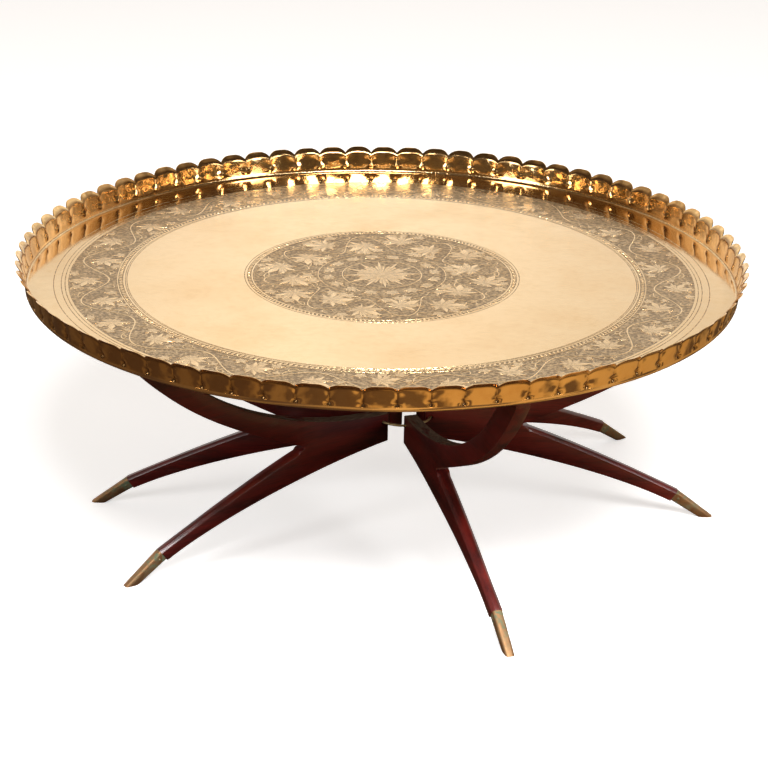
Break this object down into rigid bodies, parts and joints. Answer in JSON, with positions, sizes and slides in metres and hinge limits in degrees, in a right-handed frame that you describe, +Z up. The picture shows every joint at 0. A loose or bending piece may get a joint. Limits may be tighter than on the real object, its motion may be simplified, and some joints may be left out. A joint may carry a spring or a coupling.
{
  "type": "brass tray table",
  "caption": "Round brass tray with a scalloped, fluted wall and an engraved floor, resting on a folding stand of curved hardwood boards with brass foot caps.",
  "frame": {"origin": "on the floor, straight below the middle of the tray", "axes": "+Z up, -Y towards the front, +X to the right"},
  "size_m": [1.17, 1.17, 0.473],
  "materials": {
    "engraved_brass": "polished, engraved",
    "fluted_brass": "polished, hand fluted",
    "ring_brass": "dull wire",
    "dark_wood": "lacquered dark red hardwood",
    "aged_brass": "aged, with verdigris",
    "nail_brass": "aged"
  },
  "bodies": {
    "leg_1": {"leg_1": "dark_wood", "foot_cap_1": "aged_brass", "cap_nails_1": "nail_brass", "hub_ring": "ring_brass"},
    "leg_2": {"leg_2": "dark_wood", "foot_cap_2": "aged_brass", "cap_nails_2": "nail_brass"},
    "leg_3": {"leg_3": "dark_wood", "foot_cap_3": "aged_brass", "cap_nails_3": "nail_brass"},
    "leg_4": {"leg_4": "dark_wood", "foot_cap_4": "aged_brass", "cap_nails_4": "nail_brass"},
    "leg_5": {"leg_5": "dark_wood", "foot_cap_5": "aged_brass", "cap_nails_5": "nail_brass"},
    "leg_6": {"leg_6": "dark_wood", "foot_cap_6": "aged_brass", "cap_nails_6": "nail_brass"},
    "tray": {"tray_floor": "engraved_brass", "tray_rim": "fluted_brass"}
  },
  "joints": [
    {"name": "leg_2_swing", "type": "hinge", "parent": "leg_1", "child": "leg_2", "pos_m": [0.039, 0.02, 0.176], "axis": [0, 0, -1], "range_deg": [0, 38]},
    {"name": "leg_3_swing", "type": "hinge", "parent": "leg_1", "child": "leg_3", "pos_m": [0.039, 0.02, 0.176], "axis": [0, 0, -1], "range_deg": [0, 43]},
    {"name": "leg_4_swing", "type": "hinge", "parent": "leg_1", "child": "leg_4", "pos_m": [0.039, 0.02, 0.176], "axis": [0, 0, -1], "range_deg": [0, 78]},
    {"name": "leg_5_swing", "type": "hinge", "parent": "leg_1", "child": "leg_5", "pos_m": [0.039, 0.02, 0.176], "axis": [0, 0, 1], "range_deg": [0, 42]},
    {"name": "leg_6_swing", "type": "hinge", "parent": "leg_1", "child": "leg_6", "pos_m": [0.039, 0.02, 0.176], "axis": [0, 0, 1], "range_deg": [0, 40]},
    {"name": "tray_lift", "type": "slide", "parent": "leg_1", "child": "tray", "axis": [0, 0, 1], "range_m": [0, 0.15]}
  ],
  "couplings": [
    {"joint": "leg_2_swing", "follows": "leg_4_swing", "ratio": 0.48718},
    {"joint": "leg_3_swing", "follows": "leg_4_swing", "ratio": 0.55128},
    {"joint": "leg_5_swing", "follows": "leg_4_swing", "ratio": 0.53846},
    {"joint": "leg_6_swing", "follows": "leg_4_swing", "ratio": 0.51282}
  ]
}
